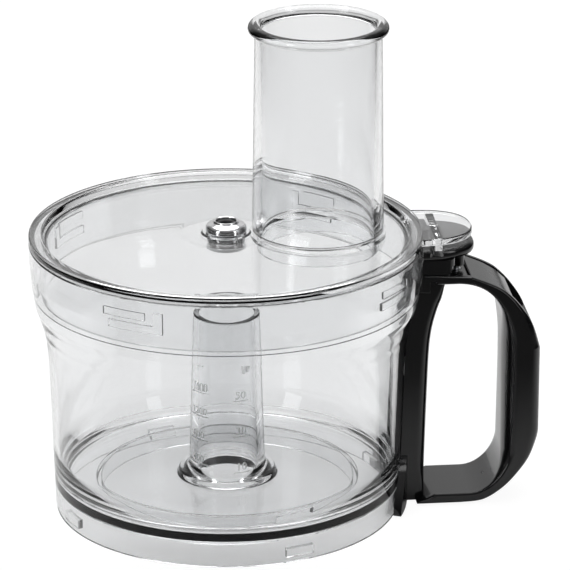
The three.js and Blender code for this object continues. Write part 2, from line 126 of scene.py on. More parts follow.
class Paint:
    """One material: its tree, and one method that adds any node."""

    def __init__(self, name):
        self.material = bpy.data.materials.new(name)
        self.material.use_nodes = True
        self.tree = self.material.node_tree
        self.tree.nodes.clear()

    def node(self, kind, settings=None, **inputs):
        made = self.tree.nodes.new(kind)
        for key, value in (settings or {}).items():
            if key == "stops":
                self._stops(made.color_ramp, value)
            else:
                setattr(made, key, value)
        for key, value in inputs.items():
            slot = made.inputs[key.replace("_", " ")]
            if isinstance(value, Value):
                self.tree.links.new(value.socket, slot)
            elif isinstance(value, bpy.types.NodeSocket):
                self.tree.links.new(value, slot)
            else:
                slot.default_value = value
        return made

    @staticmethod
    def _stops(ramp, stops):
        while len(ramp.elements) > 1:
            ramp.elements.remove(ramp.elements[0])
        ramp.elements[0].position, ramp.elements[0].color = stops[0]
        for place, colour in stops[1:]:
            ramp.elements.new(place).color = colour

    def value(self, socket):
        return Value(self.tree, socket)

    def object_place(self, scale=(1, 1, 1), location=(0, 0, 0)):
        where = self.node("ShaderNodeTexCoord").outputs["Object"]
        return self.node("ShaderNodeMapping", Vector=where, Scale=scale, Location=location).outputs[0]

    def finish(self, shader):
        self.node("ShaderNodeOutputMaterial", Surface=shader)
        return self.material


def grey(level):
    return (level, level, level, 1)


# %% [markdown]
# ## Clear plastic
# Moulded clear plastic bends light like glass, is a touch grey, and is never perfectly flat: the
# melt leaves a faint long ripple, which a low bump gives. Lamps have to reach the inside and the
# worktop, so a shadow ray meets a tinted Transparent shader in place of the bending one.


# %% Clear plastic
def clear_plastic(name, tint, ripple, roughness=0.0, shade=0.86):
    paint = Paint(name)
    place = paint.object_place(scale=(1, 1, 0.35))
    waves = paint.node("ShaderNodeTexNoise", Vector=place, Scale=38, Detail=2, Roughness=0.4)
    bump = paint.node("ShaderNodeBump", Strength=ripple, Distance=0.0006, Height=waves.outputs[0])
    body = paint.node("ShaderNodeBsdfPrincipled", Base_Color=tint, Roughness=roughness, IOR=1.5,
                      Transmission_Weight=1.0, Normal=bump.outputs[0])
    lamp_way = paint.node("ShaderNodeBsdfTransparent", Color=grey(shade))
    ray = paint.node("ShaderNodeLightPath")
    mix = paint.node("ShaderNodeMixShader", Fac=ray.outputs["Is Shadow Ray"])
    paint.tree.links.new(body.outputs[0], mix.inputs[1])
    paint.tree.links.new(lamp_way.outputs[0], mix.inputs[2])
    return paint.finish(mix.outputs[0])


bowl_plastic = clear_plastic("clear_bowl_plastic", (0.955, 0.96, 0.965, 1), ripple=0.05)
lid_plastic = clear_plastic("clear_lid_plastic", (0.965, 0.97, 0.975, 1), ripple=0.05)
mark_plastic = clear_plastic("frosted_mark_plastic", (0.97, 0.97, 0.97, 1), ripple=0.1, roughness=0.28)
print("clear plastics ready")

# %% [markdown]
# ## Black plastic
# The handle is polished black plastic. Up close the polish is uneven and holds fine rubs from hands,
# so the roughness wanders and a very fine bump breaks the reflections.


# %% Black plastic
def black_plastic(name, base, low_rough, high_rough):
    paint = Paint(name)
    place = paint.object_place()
    cloud = paint.node("ShaderNodeTexNoise", Vector=place, Scale=55, Detail=5, Roughness=0.6)
    grain = paint.node("ShaderNodeTexNoise", Vector=place, Scale=2600, Detail=2, Roughness=0.5)
    rub = paint.value(cloud.outputs[0])
    roughness = low_rough + rub * (high_rough - low_rough)
    tone = paint.node("ShaderNodeMix", {"data_type": "RGBA"}, Factor=cloud.outputs[0])
    tone.inputs["A"].default_value = base
    tone.inputs["B"].default_value = (base[0] * 1.5, base[1] * 1.5, base[2] * 1.5, 1)
    bump = paint.node("ShaderNodeBump", Strength=0.12, Distance=0.00005, Height=grain.outputs[0])
    body = paint.node("ShaderNodeBsdfPrincipled", Base_Color=tone.outputs["Result"],
                      Roughness=roughness, IOR=1.5, Normal=bump.outputs[0])
    return paint.finish(body.outputs[0])


handle_black = black_plastic("handle_black", (0.005, 0.005, 0.0053, 1), 0.07, 0.20)
rod_black = black_plastic("rod_black", (0.012, 0.012, 0.013, 1), 0.30, 0.50)
print("black plastics ready")

# %% [markdown]
# ## Metals
# The spindle bush is turned and plated: fine rings round its axis. The screws and the clip are dull
# zinc. Both come from one recipe with a different roughness and colour.


# %% Metals
def metal(name, colour, roughness, rings):
    paint = Paint(name)
    centred = paint.object_place(location=(-AXIS.x, 0, 0))
    turn = paint.node("ShaderNodeTexWave", {"wave_type": "RINGS", "rings_direction": "Z"},
                      Vector=centred, Scale=rings, Distortion=0.6, Detail=2)
    spots = paint.node("ShaderNodeTexNoise", Vector=centred, Scale=700, Detail=3)
    worn = paint.value(spots.outputs[0]) * 0.16 + roughness
    bump = paint.node("ShaderNodeBump", Strength=0.10, Distance=0.00003, Height=turn.outputs["Fac"])
    body = paint.node("ShaderNodeBsdfPrincipled", Base_Color=colour, Metallic=1.0, Roughness=worn,
                      Normal=bump.outputs[0])
    return paint.finish(body.outputs[0])


chrome = metal("bush_chrome", (0.78, 0.78, 0.79, 1), 0.05, 900)
zinc = metal("zinc_steel", (0.55, 0.56, 0.58, 1), 0.24, 300)
print("metals ready")

# %% [markdown]
# ## Outlines with rounded corners
# Moulded parts have no sharp corners. An outline is given as a few points, each with the radius of
# its corner, and this helper puts a short arc of points there. Sizes are in millimetres, as on a
# drawing.


# %% Rounded outlines
def rounded(points, steps=5):
    """Points of (a, b, radius) become (a, b) pairs with each corner rounded by its radius."""
    made = []
    count = len(points)
    for i, (a, b, radius) in enumerate(points):
        here = Vector((a, b))
        before = Vector(points[i - 1][:2]) - here
        after = Vector(points[(i + 1) % count][:2]) - here
        reach = min(radius, before.length * 0.49, after.length * 0.49)
        if reach < 0.01:
            made.append((a, b))
            continue
        start, end = here + before.normalized() * reach, here + after.normalized() * reach
        for step in range(steps + 1):
            t = step / steps
            point = start * (1 - t) ** 2 + here * 2 * t * (1 - t) + end * t * t
            made.append((point.x, point.y))
    return made


def flowing(points, steps=6):
    """A smooth line of (a, b) pairs through the given ones."""
    ends = [points[0], *points, points[-1]]
    made = []
    for i in range(1, len(ends) - 2):
        p0, p1, p2, p3 = (Vector(p[:2]) for p in ends[i - 1:i + 3])
        for step in range(steps):
            t = step / steps
            point = 0.5 * (2 * p1 + (p2 - p0) * t + (2 * p0 - 5 * p1 + 4 * p2 - p3) * t * t
                           + (3 * p1 - p0 - 3 * p2 + p3) * t ** 3)
            made.append((point.x, point.y))
    return made + [tuple(points[-1][:2])]


# Outer face of the bowl from foot to rim: radius and height.
FACE = [(77, 0), (77.6, 20), (78.4, 48), (79.3, 72), (80.5, 82), (81.7, 87), (83, 91.5),
        (84.6, 96), (85.3, 101), (86.1, 106), (86.8, 116), (87, 124)]
WALL = 2.5
face_line = flowing(FACE)


def face_radius(height):
    for (r0, z0), (r1, z1) in zip(face_line, face_line[1:]):
        if z0 <= height <= z1:
            return r0 + (r1 - r0) * (height - z0) / (z1 - z0)
    return face_line[-1][0]


print("bowl face has", len(face_line), "points")

# %% [markdown]
# ## Turning by Geometry Nodes
# The bowl, the lid and the feed tube are all turned shapes: one outline swept round an axis. Curve to
# Mesh does exactly that when its path is a circle, and the number of facets is an input of the tree.


# %% The turning tree
PATH_R = 0.05


def new_tree(name, inputs):
    tree = bpy.data.node_groups.new(name, "GeometryNodeTree")
    for title, kind in inputs:
        tree.interface.new_socket(title, in_out="INPUT", socket_type=kind)
    tree.interface.new_socket("Piece", in_out="OUTPUT", socket_type="NodeSocketGeometry")
    return tree, tree.nodes.new("NodeGroupInput"), tree.nodes.new("NodeGroupOutput")


def turning_tree():
    tree, given, out = new_tree("turn_outline", [
        ("Outline", "NodeSocketGeometry"), ("Facets", "NodeSocketInt"),
        ("Finish", "NodeSocketMaterial")])
    circle = tree.nodes.new("GeometryNodeCurvePrimitiveCircle")
    circle.inputs["Radius"].default_value = PATH_R
    upright = tree.nodes.new("GeometryNodeSetCurveNormal")
    upright.mode = "Z_UP"
    sweep = tree.nodes.new("GeometryNodeCurveToMesh")
    realize = tree.nodes.new("GeometryNodeRealizeInstances")
    finish = tree.nodes.new("GeometryNodeSetMaterial")
    link = tree.links.new
    link(given.outputs["Facets"], circle.inputs["Resolution"])
    link(circle.outputs[0], upright.inputs[0])
    link(upright.outputs[0], sweep.inputs["Curve"])
    link(given.outputs["Outline"], sweep.inputs["Profile Curve"])
    link(sweep.outputs[0], realize.inputs[0])
    link(realize.outputs[0], finish.inputs["Geometry"])
    link(given.outputs["Finish"], finish.inputs["Material"])
    link(finish.outputs[0], out.inputs[0])
    return tree


def set_inputs(modifier, tree, values):
    """Sets a modifier's inputs by the identifiers of the sockets with these names."""
    for item in tree.interface.items_tree:
        if item.in_out == "INPUT" and item.name in values:
            modifier[item.identifier] = values[item.name]


def plain_mesh(source, name):
    """The evaluated result of source as a mesh object of its own; source is removed."""
    bpy.context.view_layer.update()
    graph = bpy.context.evaluated_depsgraph_get()
    mesh = bpy.data.meshes.new_from_object(source.evaluated_get(graph), depsgraph=graph)
    mesh.transform(source.matrix_world)
    bpy.data.objects.remove(source)
    mesh.name = name
    made = bpy.data.objects.new(name, mesh)
    bpy.context.scene.collection.objects.link(made)
    return made


def face_out(piece):
    """Turns the faces of a closed piece outwards, after its doubles are merged."""
    shape = bmesh.new()
    shape.from_mesh(piece.data)
    bmesh.ops.remove_doubles(shape, verts=shape.verts, dist=1e-7)
    bmesh.ops.recalc_face_normals(shape, faces=shape.faces)
    if shape.calc_volume(signed=True) < 0:
        bmesh.ops.reverse_faces(shape, faces=shape.faces)
    shape.to_mesh(piece.data)
    shape.free()
    return piece


TURN = turning_tree()


def turned(name, outline, finish, axis=AXIS, facets=192):
    """A closed outline of (radius, height) pairs in millimetres, turned about an upright axis."""
    curve = bpy.data.curves.new(name, "CURVE")
    curve.dimensions = "3D"
    line = curve.splines.new("POLY")
    line.points.add(len(outline) - 1)
    for point, (radius, height) in zip(line.points, outline):
        point.co = (radius * MM - PATH_R, -height * MM, 0, 1)
    line.use_cyclic_u = True
    source = bpy.data.objects.new(name, curve)
    bpy.context.scene.collection.objects.link(source)
    modifier = source.modifiers.new("turn", "NODES")
    modifier.node_group = TURN
    set_inputs(modifier, TURN, {"Facets": facets, "Finish": finish})
    piece = plain_mesh(source, name)
    piece.data.transform(Matrix.Translation(axis))
    return face_out(piece)


print("turning tree ready")

# %% [markdown]
# ## Solid building blocks
# Lugs, ears and slots are short pieces of ring or small prisms. They are joined to the turned body or
# cut out of it as exact solids, so that the clear plastic has no walls inside it.


# %% Prisms, joins and cuts
def prism(name, outline, low, high, axis="Z", finish=None):
    """A closed outline in millimetres, raised along Z, or along Y for an outline in X and Z."""
    shape = bmesh.new()
    def spot(a, b, c):
        return (a * MM, c * MM, b * MM) if axis == "Y" else (a * MM, b * MM, c * MM)
    first = [shape.verts.new(spot(a, b, low)) for a, b in outline]
    second = [shape.verts.new(spot(a, b, high)) for a, b in outline]
    shape.faces.new(first)
    shape.faces.new(list(reversed(second)))
    for i in range(len(outline)):
        j = (i + 1) % len(outline)
        shape.faces.new((first[i], first[j], second[j], second[i]))
    bmesh.ops.recalc_face_normals(shape, faces=shape.faces)
    if shape.calc_volume(signed=True) < 0:
        bmesh.ops.reverse_faces(shape, faces=shape.faces)
    mesh = bpy.data.meshes.new(name)
    shape.to_mesh(mesh)
    shape.free()
    mesh.transform(Matrix.Translation(AXIS))
    if finish:
        mesh.materials.append(finish)
    made = bpy.data.objects.new(name, mesh)
    bpy.context.scene.collection.objects.link(made)
    return made


def arc(radius, start, end, steps):
    angles = [math.radians(start + (end - start) * i / steps) for i in range(steps + 1)]
    return [(radius * math.cos(a), radius * math.sin(a)) for a in angles]


def ring_part(inner, outer, low, high, start, end, finish=None, steps=24):
    outline = arc(outer, start, end, steps) + arc(inner, end, start, steps)
    return prism("ring_part", outline, low, high, finish=finish)


def round_post(radius, low, high, x, y, facets=40, finish=None):
    turns = [2 * math.pi * i / facets for i in range(facets)]
    outline = [(x + radius * math.cos(a), y + radius * math.sin(a)) for a in turns]
    return prism("post", outline, low, high, finish=finish)


def block(x0, x1, y0, y1, z0, z1, finish=None):
    return prism("block", [(x0, y0), (x1, y0), (x1, y1), (x0, y1)], z0, z1, finish=finish)


def soften(piece, width, segments=3, angle=40):
    """Rounds the sharp edges of a piece."""
    bevel = piece.modifiers.new("soften", "BEVEL")
    bevel.width = width * MM
    bevel.segments = segments
    bevel.limit_method = "ANGLE"
    bevel.angle_limit = math.radians(angle)
    bevel.use_clamp_overlap = True
    return plain_mesh(piece, piece.name)


def combine(body, tools, operation):
    """Joins tools to a body (UNION), cuts them out (DIFFERENCE) or keeps the shared part."""
    name = body.name
    for tool in tools:
        change = body.modifiers.new("combine", "BOOLEAN")
        change.operation = operation
        change.solver = "MANIFOLD"
        change.object = tool
    finish = list(body.data.materials)
    made = plain_mesh(body, name)
    for tool in tools:
        bpy.data.objects.remove(tool)
    made.data.materials.clear()
    for item in finish:
        made.data.materials.append(item)
    made.data.polygons.foreach_set("material_index", [0] * len(made.data.polygons))
    return made


def smooth(piece, angle=35):
    """Smooth shading, with creases kept where faces meet at more than an angle. Normals lean to the
    largest face at each corner, which keeps flat faces looking flat beside their rounded edges."""
    piece.data.shade_smooth()
    shape = bmesh.new()
    shape.from_mesh(piece.data)
    for edge in shape.edges:
        edge.smooth = len(edge.link_faces) == 2 and edge.calc_face_angle(0) < math.radians(angle)
    shape.to_mesh(piece.data)
    shape.free()
    weigh = piece.modifiers.new("weigh", "WEIGHTED_NORMAL")
    weigh.keep_sharp = True
    weigh.weight = 70
    return plain_mesh(piece, piece.name)


def place(piece, body, slot, *nodes):
    """Attaches a finished piece to its body and hides the packed pieces it replaces."""
    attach(piece, body)
    if nodes:
        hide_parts(*nodes)
    print(piece.name, len(piece.data.polygons), "faces")
    return piece


# %% [markdown]
# ## The same piece several times round the axis
# Ribs, lugs and keys come in fours. A second small tree puts a unit on as many points as asked for,
# turns each by its share of a full turn, and makes them real.

# %% The repeating tree
def repeating_tree():
    tree, given, out = new_tree("repeat_round", [
        ("Unit", "NodeSocketGeometry"), ("Count", "NodeSocketInt"), ("Finish", "NodeSocketMaterial")])
    points = tree.nodes.new("GeometryNodePoints")
    index = tree.nodes.new("GeometryNodeInputIndex")
    share = tree.nodes.new("ShaderNodeMath")
    share.operation = "DIVIDE"
    share.inputs[0].default_value = math.tau
    angle = tree.nodes.new("ShaderNodeMath")
    angle.operation = "MULTIPLY"
    euler = tree.nodes.new("ShaderNodeCombineXYZ")
    turn = tree.nodes.new("FunctionNodeEulerToRotation")
    put = tree.nodes.new("GeometryNodeInstanceOnPoints")
    realize = tree.nodes.new("GeometryNodeRealizeInstances")
    finish = tree.nodes.new("GeometryNodeSetMaterial")
    link = tree.links.new
    link(given.outputs["Count"], points.inputs["Count"])
    link(given.outputs["Count"], share.inputs[1])
    link(share.outputs[0], angle.inputs[0])
    link(index.outputs[0], angle.inputs[1])
    link(angle.outputs[0], euler.inputs["Z"])
    link(euler.outputs[0], turn.inputs[0])
    link(points.outputs[0], put.inputs["Points"])
    link(given.outputs["Unit"], put.inputs["Instance"])
    link(turn.outputs[0], put.inputs["Rotation"])
    link(put.outputs[0], realize.inputs[0])
    link(realize.outputs[0], finish.inputs["Geometry"])
    link(given.outputs["Finish"], finish.inputs["Material"])
    link(finish.outputs[0], out.inputs[0])
    return tree


REPEAT = repeating_tree()


def repeated(unit, count, finish):
    """One mesh with count copies of a unit, evenly round the bowl's axis."""
    unit.data.transform(Matrix.Translation(-AXIS))
    modifier = unit.modifiers.new("repeat", "NODES")
    modifier.node_group = REPEAT
    set_inputs(modifier, REPEAT, {"Count": count, "Finish": finish})
    made = plain_mesh(unit, unit.name)
    made.data.transform(Matrix.Translation(AXIS))
    return made


print("repeating tree ready")

# %% [markdown]
# ## The bowl
# One moulding: a wall that flares into a collar, a floor with a hollow column standing on it, and a
# skirt that hides the drive ring. The collar's inside has sloping ribs that hold the lid's lugs, and
# the skirt has small keys for the drive base.

# %% Bowl outline
FLOOR_Z = 14
LEDGE_Z = 101
COLUMN_TOP = 91.8
LOCK_ANGLE = -35
EAR_LOW, EAR_HIGH = 4.6, 99.5
EAR_REACH = 4.4
EAR_SIDE = 6

inner_wall = [(r - WALL, z) for r, z in face_line if 21 < z < 97]
bowl_outline = (
    rounded([(13.8, 11.5, 0.4), (12.2, COLUMN_TOP, 0.8), (14.7, COLUMN_TOP, 0.8), (17, 20, 2),
             (18.5, 17.5, 1.5), (21.6, 16.5, 0.8), (22.2, FLOOR_Z, 0.8), (71.5, FLOOR_Z, 2.0),
             (75.1, 18, 2.5)])
    + inner_wall
    + rounded([(82.4, LEDGE_Z - 0.6, 0.4), (83.7, LEDGE_Z, 0.4), (84.3, 110, 1), (84.3, 124, 0.5)])
    + [(86.7, 124.0), (87, 123.7)]
    + [(r, z) for r, z in reversed(face_line) if 1 < z < 123]
    + rounded([(77, 0.0, 0.6), (74.6, 0, 0.6), (74.9, 11.5, 0.8), (58.5, 11.5, 0.5), (58.5, 3, 0.5),
               (56.3, 3, 0.5), (56.3, 11.5, 0.5)])
)
bowl = turned("clear_bowl", bowl_outline, bowl_plastic, facets=240)
print("bowl turned,", len(bowl.data.vertices), "points")

# %% Bowl ribs, ears, keys and notch
ramp = soften(ring_part(83.2, 84.8, 114.5, 118, LOCK_ANGLE - 8, LOCK_ANGLE + 6), 0.4, 2)
ramps = repeated(ramp, 4, bowl_plastic)
keys = repeated(ring_part(72.6, 75.6, 2, 6, 15, 25), 4, bowl_plastic)
ears, ear_holes = [], []
for low, high in ((EAR_LOW, 12), (EAR_HIGH, 105.6)):
    for side in (-1, 1):
        wall = face_radius(low)
        y = side * EAR_SIDE
        ears.append(block(wall - 1, wall + 7.2, y - 2.6, y + 2.6, low, high))
        ear_holes.append(round_post(1.6, low - 1, high + 1, wall + EAR_REACH, y, facets=24))
bowl = combine(bowl, [ramps, keys, *ears], "UNION")
bowl = combine(bowl, [ring_part(54, 61, 0, 8, -73, -53)] + ear_holes, "DIFFERENCE")
place(smooth(bowl, 40), "bowl", "clear_bowl", "bowl")

# %% [markdown]
# ## Volume marks
# Raised figures and lines stand on the column: millilitres on one side, ounces on the other. Each is
# flat lettering, given a thickness and then wrapped round the column, a hair clear of its face.

# %% Volume marks
FRONT = math.degrees(VIEW_AZIMUTH) - 90
MARK_STEP = 11.4
FIRST_MARK = 22.2


def column_radius(height):
    return 17 + (14.7 - 17) * (height - 20) / (COLUMN_TOP - 20)


def wrap(mesh, angle, height):
    """Wraps flat lettering, in millimetres, round the column."""
    for vertex in mesh.vertices:
        across, up, out = vertex.co
        radius = column_radius(height + up) + 0.06 + out
        turn = math.radians(angle) + across / column_radius(height)
        vertex.co = (radius * math.cos(turn) * MM, radius * math.sin(turn) * MM, (height + up) * MM)
    mesh.transform(Matrix.Translation(AXIS))


def raised_text(words, angle, height, size):
    letters = bpy.data.curves.new("marks", "FONT")
    letters.body = words
    letters.size = size
    letters.extrude = 0.16
    letters.offset = 0.03
    letters.resolution_u = 3
    letters.align_x = "CENTER"
    source = bpy.data.objects.new("marks", letters)
    bpy.context.scene.collection.objects.link(source)
    made = plain_mesh(source, "marks")
    made.data.transform(Matrix.Translation((0, 0, 0.16)))
    wrap(made.data, angle, height)
    made.data.materials.clear()
    return made


def joined(name, pieces, finish):
    """Several separate closed pieces in one mesh."""
    shape = bmesh.new()
    for piece in pieces:
        shape.from_mesh(piece.data)
        bpy.data.objects.remove(piece)
    for face in shape.faces:
        face.material_index = 0
    mesh = bpy.data.meshes.new(name)
    shape.to_mesh(mesh)
    shape.free()
    mesh.materials.append(finish)
    made = bpy.data.objects.new(name, mesh)
    bpy.context.scene.collection.objects.link(made)
    return face_out(made)


def column_marks():
    pieces = []
    left, right = FRONT - 48, FRONT + 23
    for i in range(4):
        height = FIRST_MARK + MARK_STEP * i
        pieces.append(raised_text(str(400 * (i + 1)), left, height + 1.2, 4.6))
        radius = column_radius(height) + 0.06
        pieces.append(ring_part(radius, radius + 0.3, height, height + 0.5, left - 19, left + 19))
    pieces.append(raised_text("ml", left, FIRST_MARK + MARK_STEP * 4 - 1, 4.6))
    for words, height in (("10", 19.4), ("30", 36.5), ("50", 53.6)):
        pieces.append(raised_text(words, right, height + 1.2, 5.2))
        radius = column_radius(height) + 0.06
        pieces.append(ring_part(radius, radius + 0.3, height, height + 0.5, right - 13, right + 13))
    pieces.append(raised_text("oz", right + 10, FIRST_MARK + MARK_STEP * 4 - 1, 4.6))
    return joined("column_marks", pieces, mark_plastic)


marks = column_marks()
open_edges = sum(1 for e in marks.data.edges if e.is_loose)
print("marks have", len(marks.data.polygons), "faces,", open_edges, "loose edges")
place(smooth(marks, 30), "bowl", "clear_bowl")

# %% [markdown]
# ## The lid
# A plate just below its rim, a skirt that drops into the collar, four L-shaped lugs, a hub for the
# spindle bush and, over the handle, a locking tab with a finger under it.

# %% Lid
LID_TOP = 128
SKIRT_R = 81.5
TUBE_X = (TUBE_AXIS.x - AXIS.x) / MM
lid_outline = rounded([
    (6.3, 120, 0.3), (6.3, 127.7, 0.2), (10.4, 127.7, 0.3), (11, 127.1, 0.3), (20, 127, 2),
    (79.6, 124.5, 1.0),
    (81.2, LID_TOP, 0.8), (87, LID_TOP, 1.2), (87, 124.3, 0.5), (SKIRT_R, 124.3, 0.4),
    (SKIRT_R, 102, 0.8), (SKIRT_R - 2.2, 102, 0.8), (SKIRT_R - 2.2, 121.9, 0.8), (20, 124.4, 1),
    (8.6, 124.4, 0.6), (8, 120, 0.4)])
lid = turned("clear_lid", lid_outline, lid_plastic, facets=240)


def tab_outline(root, tip, half):
    shoulder = tip - 16
    a, b, c, d = (Vector(p) for p in
                  ((shoulder, -half + 1), (tip - 3, -half + 4), (tip, -8), (tip, 0)))
    near = []
    for i in range(13):
        t = i / 12
        near.append(a * (1 - t) ** 3 + b * 3 * t * (1 - t) ** 2 + c * 3 * t * t * (1 - t) + d * t ** 3)
    near = [(p.x, p.y) for p in near]
    far = [(x, -y) for x, y in reversed(near[:-1])]
    return [(root, -half), *near, *far, (root, half)]


def finger_block():
    """The finger under the tab; its underside slopes so that the rod rises as the lid turns."""
    side = [(-17, 126), (-17, 120.8), (3, 118.8), (17, 118.8), (17, 126)]
    made = prism("finger", side, 90.5, 94, axis="Z")
    made.data.transform(Matrix.Translation(-AXIS))
    turn = Matrix(((0, 0, 1, 0), (1, 0, 0, 0), (0, 1, 0, 0), (0, 0, 0, 1)))
    made.data.transform(Matrix.Translation(AXIS) @ turn)
    return face_out(made)


foot = ring_part(SKIRT_R - 1, 82.9, 108.5, 112, LOCK_ANGLE - 7, LOCK_ANGLE + 9)
upright = ring_part(SKIRT_R - 1, 82.9, 108.5, 118, LOCK_ANGLE + 8, LOCK_ANGLE + 11, steps=6)
lug = soften(combine(foot, [upright], "UNION"), 0.4, 2)
lugs = repeated(lug, 4, lid_plastic)
tab = soften(prism("tab", tab_outline(83, 109, 21), 124.3, 127.6), 0.9)
pad = round_post(30, 122.9, 127.1, TUBE_X, 0, 128)
lip = round_post(27, 117, 124.5, TUBE_X, 0, 128)
finger = soften(finger_block(), 0.5)
lid = combine(lid, [lugs, tab, finger, pad, lip], "UNION")
lid = combine(lid, [round_post(25, 100, 140, TUBE_X, 0, 160)], "DIFFERENCE")
place(smooth(lid, 40), "lid", "clear_lid", "lid")

# %% [markdown]
# ## The feed tube
# A slightly tapering tube with a rolled lip round its mouth.

# %% Feed tube
tube_outline = rounded([
    (25, 127.4, 0.4), (25, 220.6, 1.2), (26.6, 222, 0.9), (29.4, 222, 1.2), (30.8, 220.4, 1.2),
    (30.8, 218.8, 1.0), (29.6, 217.8, 0.5), (27.9, 217.4, 0.5), (29.1, 127.4, 0.5)])
feed_tube = turned("clear_feed_tube", tube_outline, lid_plastic, TUBE_AXIS, 160)
place(smooth(feed_tube, 40), "lid", "clear_lid", "feed_tube")

# %% [markdown]
# ## The spindle bush
# A polished collar with a black sleeve in it. The bush stands on the lid's hub and is held by a clip
# underneath.

# %% Bush and sleeve
bush_outline = rounded([
    (4.5, 118.6, 0.2), (4.5, 132.5, 0.3), (5.3, 132.9, 0.4), (5.7, 131.9, 0.4), (8.9, 130.8, 1.6),
    (9.2, 127.9, 0.5), (6, 127.9, 0.2), (6, 118.6, 0.2)])
bush = turned("chrome_bush", bush_outline, chrome, facets=96)
place(smooth(bush), "bush", "chrome", "lid_bush")
sleeve_outline = rounded([(2.4, 121, 0.2), (2.4, 131, 0.5), (3, 131.8, 0.4), (4.3, 131.8, 0.2),
                          (4.3, 121, 0.2)])
sleeve = turned("black_sleeve", sleeve_outline, rod_black, facets=64)
place(smooth(sleeve), "bush", "black_insert", "bush_insert")

# %% [markdown]
# ## The handle
# Seen from the side the handle is a C whose open ends run into a spine. The C is one outline: round the
# outside of the loop and back along the finger opening. Its edges are rounded before it meets the
# spine, so that the light rolls over them. The loop is a channel, closed outside by the grip cover.

# %% Handle outlines
HALF = 17.5
GRIP_R = 138.6
SIDE_WALL = 3
WEB = 1.8
SPINE_HALF, SPINE_DEPTH, SPINE_TOP = 12, 10.5, 109.5
SLIT = 0.3


def bend(a, b, c, d, steps=14):
    """Points of one cubic curve, without its last one."""
    a, b, c, d = map(Vector, (a, b, c, d))
    spots = [i / steps for i in range(steps)]
    return [tuple(a * (1 - t) ** 3 + b * 3 * t * (1 - t) ** 2 + c * 3 * t * t * (1 - t) + d * t ** 3)
            for t in spots]


def loop_outer():
    high = flowing([(106.8, 108.2), (116.1, 104.4), (122.6, 100.6), (129, 94), (135, 84.6),
                    (GRIP_R, 73)], 8)
    low = flowing([(GRIP_R, 38), (138.2, 31), (134.9, 21.5), (129.2, 13.6), (122.2, 6.6),
                   (113.8, 1.6), (104, 0.6)], 8)
    return [(86, SPINE_TOP)] + [(min(x, GRIP_R), z) for x, z in high + low] + [(84, 0.6)]


def loop_inner(grow=0.0):
    top, side, low = 105 + grow, 122.6 + grow, 5.2 - grow
    return ([(92 - grow, top)]
            + bend((102, top), (111, top - 0.4), (119, top - 5), (side - 1.2, 90))
            + bend((side - 1.2, 90), (side, 84), (side, 70), (side, 60))
            + [(side, 60)]
            + bend((side, 24), (side, 12), (116, low), (107.5, low))
            + [(107.5, low), (92 - grow, low)])


def loop_hollow(shift=0.0, thicker=0.0):
    web = [(x + shift + thicker * on_grip(x, z), z - shift) for x, z in loop_inner(WEB) if x > 104]
    return [(98, 112.5), (98, 105 + WEB), *web, (104 + shift, 1.8 - shift), (104, -3), (146, -3),
            (146, 112.5)]


def along_face(near, far, low, high, steps=40):
    heights = [low + (high - low) * i / steps for i in range(steps + 1)]
    return ([(face_radius(z) + far, z) for z in heights]
            + [(face_radius(z) + near, z) for z in reversed(heights)])


def bowl_core(gap):
    line = [(r + gap, z) for r, z in face_line]
    outline = [(0.5, -5), (77 + gap, -5), *line, (87 + gap, 144), (0.5, 144)]
    return turned("core", outline, None, facets=240)


print("loop outline has", len(loop_outer()) + len(loop_inner()), "points")

# %% Handle body
POST_R = 3.6
POST_X, POST_SIDE = 95, 10.6
MIDDLE_POST_X = 102.5
COVER_SCREW_X = 117


def side_slab(outline, half):
    return prism("slab", outline, -half, half, axis="Y")


def rolled_slab(name, outline, radii, half, finish, steps=6):
    """A thick outline in X and Z whose edges roll over. Every point has its own roll: how far the
    edge draws in, and how far back from the side it starts to."""
    count = len(outline)
    area = sum(outline[i - 1][0] * outline[i][1] - outline[i][0] * outline[i - 1][1]
               for i in range(count))
    turn = 1 if area > 0 else -1
    normals = []
    for i in range(count):
        a, b = Vector(outline[i - 1]), Vector(outline[(i + 1) % count])
        along = (b - a).normalized()
        normals.append(Vector((along.y, -along.x)) * turn)
    shape = bmesh.new()
    rings = []
    angles = [math.pi / 2 * k / steps for k in range(steps + 1)]
    levels = [(a, 1) for a in reversed(angles)] + [(a, -1) for a in angles]
    for angle, side in levels:
        ring = []
        for point, normal, (inset, depth) in zip(outline, normals, radii):
            spot = Vector(point) - normal * inset * (1 - math.cos(angle))
            y = side * (half - depth * (1 - math.sin(angle)))
            ring.append(shape.verts.new((spot.x * MM, y * MM, spot.y * MM)))
        rings.append(ring)
    for first, second in zip(rings, rings[1:]):
        for i in range(count):
            j = (i + 1) % count
            shape.faces.new((first[i], first[j], second[j], second[i]))
    shape.faces.new(rings[0])
    shape.faces.new(list(reversed(rings[-1])))
    mesh = bpy.data.meshes.new(name)
    bmesh.ops.recalc_face_normals(shape, faces=shape.faces)
    shape.to_mesh(mesh)
    shape.free()
    mesh.transform(Matrix.Translation(AXIS))
    mesh.materials.append(finish)
    made = bpy.data.objects.new(name, mesh)
    bpy.context.scene.collection.objects.link(made)
    return face_out(made)


def on_grip(x, z):
    """1 along the upright grip, easing to 0 on the two arms."""
    share = min(1, max(0, min(z - 6, 100 - z) / 26)) if x > 100 else 0
    return share * share * (3 - 2 * share)


def edge_rolls(line, inset, depth):
    """1.2 mm on the thin arms, growing by these extras along the upright grip."""
    return [(1.2 + inset * on_grip(x, z), 1.2 + depth * on_grip(x, z)) for x, z in line]


